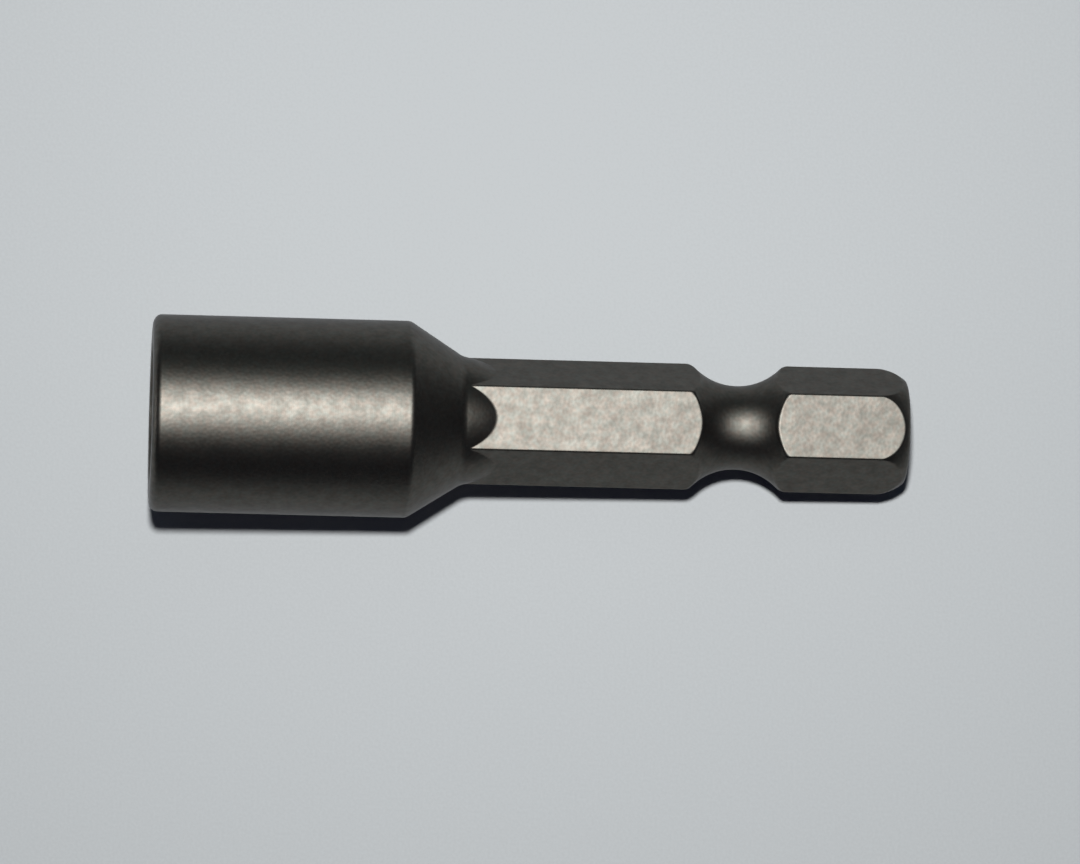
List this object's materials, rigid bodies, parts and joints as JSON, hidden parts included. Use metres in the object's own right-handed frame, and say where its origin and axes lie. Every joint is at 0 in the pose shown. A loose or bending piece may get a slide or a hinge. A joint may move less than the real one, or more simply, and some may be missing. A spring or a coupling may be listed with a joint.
{
  "type": "nut setter",
  "caption": "Magnetic nut setter bit: round socket with a hexagonal opening, conical shoulder and a hexagonal power shank with a ball groove.",
  "frame": {"origin": "centre of the shank's flat end face, on the tool's axis", "axes": "+X along the tool's axis and out of the shank's end, so the socket opens towards -X; +Z out of one flat of the hexagonal shank"},
  "size_m": [0.0436, 0.0114, 0.0114],
  "materials": {
    "blackened_steel": "satin, blackened by oxide",
    "nickel_plate": "bright plating, slightly dulled",
    "cured_epoxy": "cured, half gloss"
  },
  "bodies": {
    "root": {"driver_body": "blackened_steel", "magnet": "nickel_plate", "magnet_adhesive": "cured_epoxy"}
  },
  "joints": []
}
